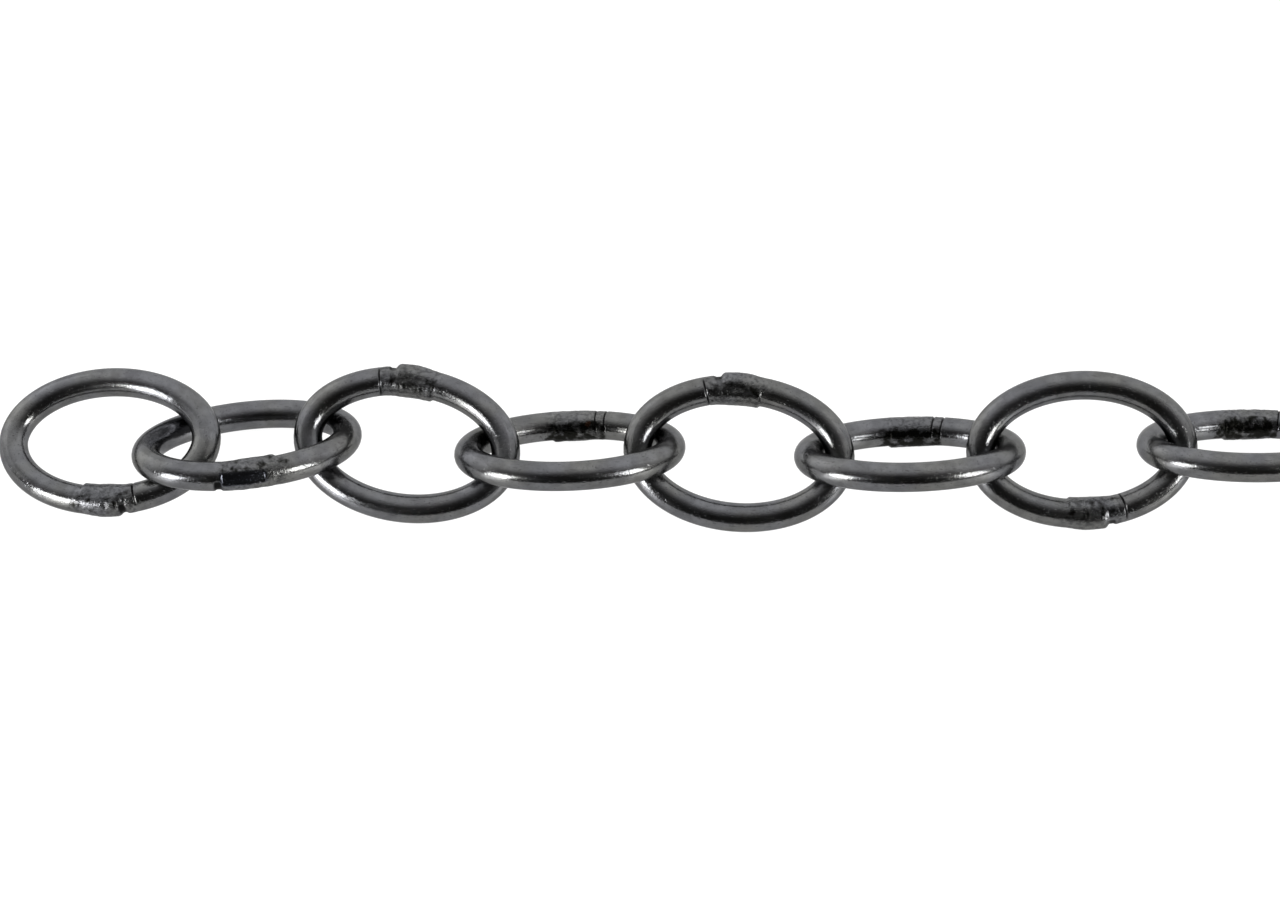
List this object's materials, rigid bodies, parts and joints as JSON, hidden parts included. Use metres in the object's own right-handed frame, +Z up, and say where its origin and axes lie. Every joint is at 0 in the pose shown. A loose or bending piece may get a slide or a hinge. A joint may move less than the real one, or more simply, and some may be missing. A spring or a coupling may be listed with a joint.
{
  "type": "oval link chain",
  "caption": "Length of welded steel chain with plain oval links, laid out straight with its free end slack; each link swings on the wire of its neighbour.",
  "frame": {"origin": "on the surface that the chain lies on, below the middle of its bounding box", "axes": "+X along the run, away from the slack free end (link_01); +Z up"},
  "size_m": [1.001, 0.03, 0.0181],
  "materials": {
    "bare_steel": "bare polished wire with fine drawing lines and pits, darker and rough with heat scale at each weld"
  },
  "bodies": {
    "link_01": {"link_01": "bare_steel"},
    "link_02": {"link_02": "bare_steel"},
    "link_03": {"link_03": "bare_steel"},
    "link_04": {"link_04": "bare_steel"},
    "link_05": {"link_05": "bare_steel"},
    "link_06": {"link_06": "bare_steel"},
    "link_07": {"link_07": "bare_steel"},
    "link_08": {"link_08": "bare_steel"},
    "link_09": {"link_09": "bare_steel"},
    "link_10": {"link_10": "bare_steel"},
    "link_11": {"link_11": "bare_steel"},
    "link_12": {"link_12": "bare_steel"},
    "link_13": {"link_13": "bare_steel"},
    "link_14": {"link_14": "bare_steel"},
    "link_15": {"link_15": "bare_steel"},
    "link_16": {"link_16": "bare_steel"},
    "link_17": {"link_17": "bare_steel"},
    "link_18": {"link_18": "bare_steel"},
    "link_19": {"link_19": "bare_steel"},
    "link_20": {"link_20": "bare_steel"},
    "link_21": {"link_21": "bare_steel"},
    "link_22": {"link_22": "bare_steel"},
    "link_23": {"link_23": "bare_steel"},
    "link_24": {"link_24": "bare_steel"},
    "link_25": {"link_25": "bare_steel"},
    "link_26": {"link_26": "bare_steel"},
    "link_27": {"link_27": "bare_steel"},
    "link_28": {"link_28": "bare_steel"},
    "link_29": {"link_29": "bare_steel"},
    "link_30": {"link_30": "bare_steel"},
    "link_31": {"link_31": "bare_steel"},
    "link_32": {"link_32": "bare_steel"},
    "link_33": {"link_33": "bare_steel"},
    "link_34": {"link_34": "bare_steel"}
  },
  "joints": [
    {"name": "swing_01", "type": "hinge", "parent": "link_02", "child": "link_01", "pos_m": [-0.47341, -0.0047, 0.00974], "axis": [0.0541, -0.6079, 0.7922], "range_deg": [-5, 90]},
    {"name": "swing_02", "type": "hinge", "parent": "link_03", "child": "link_02", "pos_m": [-0.44631, 0.00291, 0.00719], "axis": [-0.0765, -0.7066, -0.7035], "range_deg": [-90, 90]},
    {"name": "swing_03", "type": "hinge", "parent": "link_04", "child": "link_03", "pos_m": [-0.41838, -0.0034, 0.00885], "axis": [0.0187, 0.6717, -0.7406], "range_deg": [-90, 90]},
    {"name": "swing_04", "type": "hinge", "parent": "link_05", "child": "link_04", "pos_m": [-0.38935, -0.00117, 0.00848], "axis": [0.0305, 0.7027, 0.7109], "range_deg": [-90, 90]},
    {"name": "swing_05", "type": "hinge", "parent": "link_06", "child": "link_05", "pos_m": [-0.36011, -0.00374, 0.00863], "axis": [-0.0152, -0.6942, 0.7197], "range_deg": [-90, 90]},
    {"name": "swing_06", "type": "hinge", "parent": "link_07", "child": "link_06", "pos_m": [-0.33061, -0.00313, 0.00916], "axis": [0.0313, -0.6972, -0.7162], "range_deg": [-90, 90]},
    {"name": "swing_07", "type": "hinge", "parent": "link_08", "child": "link_07", "pos_m": [-0.30122, -0.00198, 0.00914], "axis": [-0.0193, 0.7112, -0.7028], "range_deg": [-90, 90]},
    {"name": "swing_09", "type": "hinge", "parent": "link_08", "child": "link_09", "pos_m": [-0.26643, -0.00112, 0.00896], "axis": [0.0117, -0.7082, 0.7059], "range_deg": [-90, 90]},
    {"name": "swing_10", "type": "hinge", "parent": "link_09", "child": "link_10", "pos_m": [-0.23702, -0.00155, 0.00877], "axis": [0, 0.7071, 0.7071], "range_deg": [-90, 90]},
    {"name": "swing_11", "type": "hinge", "parent": "link_10", "child": "link_11", "pos_m": [-0.20762, -0.00155, 0.00907], "axis": [0, 0.7071, -0.7071], "range_deg": [-90, 90]},
    {"name": "swing_12", "type": "hinge", "parent": "link_11", "child": "link_12", "pos_m": [-0.17822, -0.00155, 0.00877], "axis": [0, -0.7071, -0.7071], "range_deg": [-90, 90]},
    {"name": "swing_13", "type": "hinge", "parent": "link_12", "child": "link_13", "pos_m": [-0.14882, -0.00155, 0.00885], "axis": [0, -0.7071, 0.7071], "range_deg": [-90, 90]},
    {"name": "swing_14", "type": "hinge", "parent": "link_13", "child": "link_14", "pos_m": [-0.11942, -0.00155, 0.00877], "axis": [0, 0.7071, 0.7071], "range_deg": [-90, 90]},
    {"name": "swing_15", "type": "hinge", "parent": "link_14", "child": "link_15", "pos_m": [-0.09002, -0.00155, 0.00907], "axis": [0, 0.7071, -0.7071], "range_deg": [-90, 90]},
    {"name": "swing_16", "type": "hinge", "parent": "link_15", "child": "link_16", "pos_m": [-0.06062, -0.00155, 0.00877], "axis": [0, -0.7071, -0.7071], "range_deg": [-90, 90]},
    {"name": "swing_17", "type": "hinge", "parent": "link_16", "child": "link_17", "pos_m": [-0.03122, -0.00155, 0.00907], "axis": [0, -0.7071, 0.7071], "range_deg": [-90, 90]},
    {"name": "swing_18", "type": "hinge", "parent": "link_17", "child": "link_18", "pos_m": [-0.00182, -0.00155, 0.00916], "axis": [0, 0.7071, 0.7071], "range_deg": [-90, 90]},
    {"name": "swing_19", "type": "hinge", "parent": "link_18", "child": "link_19", "pos_m": [0.02758, -0.00155, 0.00907], "axis": [0, 0.7071, -0.7071], "range_deg": [-90, 90]},
    {"name": "swing_20", "type": "hinge", "parent": "link_19", "child": "link_20", "pos_m": [0.05698, -0.00155, 0.00877], "axis": [0, -0.7071, -0.7071], "range_deg": [-90, 90]},
    {"name": "swing_21", "type": "hinge", "parent": "link_20", "child": "link_21", "pos_m": [0.08638, -0.00155, 0.00907], "axis": [0, -0.7071, 0.7071], "range_deg": [-90, 90]},
    {"name": "swing_22", "type": "hinge", "parent": "link_21", "child": "link_22", "pos_m": [0.11578, -0.00155, 0.00877], "axis": [0, 0.7071, 0.7071], "range_deg": [-90, 90]},
    {"name": "swing_23", "type": "hinge", "parent": "link_22", "child": "link_23", "pos_m": [0.14518, -0.00155, 0.00885], "axis": [0, 0.7071, -0.7071], "range_deg": [-90, 90]},
    {"name": "swing_24", "type": "hinge", "parent": "link_23", "child": "link_24", "pos_m": [0.17458, -0.00155, 0.00877], "axis": [0, -0.7071, -0.7071], "range_deg": [-90, 90]},
    {"name": "swing_25", "type": "hinge", "parent": "link_24", "child": "link_25", "pos_m": [0.20398, -0.00155, 0.00907], "axis": [0, -0.7071, 0.7071], "range_deg": [-90, 90]},
    {"name": "swing_26", "type": "hinge", "parent": "link_25", "child": "link_26", "pos_m": [0.23338, -0.00155, 0.00877], "axis": [0, 0.7071, 0.7071], "range_deg": [-90, 90]},
    {"name": "swing_27", "type": "hinge", "parent": "link_26", "child": "link_27", "pos_m": [0.26278, -0.00155, 0.00907], "axis": [0, 0.7071, -0.7071], "range_deg": [-90, 90]},
    {"name": "swing_28", "type": "hinge", "parent": "link_27", "child": "link_28", "pos_m": [0.29218, -0.00155, 0.00916], "axis": [0, -0.7071, -0.7071], "range_deg": [-90, 90]},
    {"name": "swing_29", "type": "hinge", "parent": "link_28", "child": "link_29", "pos_m": [0.32158, -0.00155, 0.00907], "axis": [0, -0.7071, 0.7071], "range_deg": [-90, 90]},
    {"name": "swing_30", "type": "hinge", "parent": "link_29", "child": "link_30", "pos_m": [0.35098, -0.00155, 0.00877], "axis": [0, 0.7071, 0.7071], "range_deg": [-90, 90]},
    {"name": "swing_31", "type": "hinge", "parent": "link_30", "child": "link_31", "pos_m": [0.38038, -0.00155, 0.00907], "axis": [0, 0.7071, -0.7071], "range_deg": [-90, 90]},
    {"name": "swing_32", "type": "hinge", "parent": "link_31", "child": "link_32", "pos_m": [0.40978, -0.00155, 0.00877], "axis": [0, -0.7071, -0.7071], "range_deg": [-90, 90]},
    {"name": "swing_33", "type": "hinge", "parent": "link_32", "child": "link_33", "pos_m": [0.43918, -0.00155, 0.00885], "axis": [0, -0.7071, 0.7071], "range_deg": [-90, 90]},
    {"name": "swing_34", "type": "hinge", "parent": "link_33", "child": "link_34", "pos_m": [0.46858, -0.00155, 0.00877], "axis": [0, 0.7071, 0.7071], "range_deg": [-90, 90]}
  ]
}
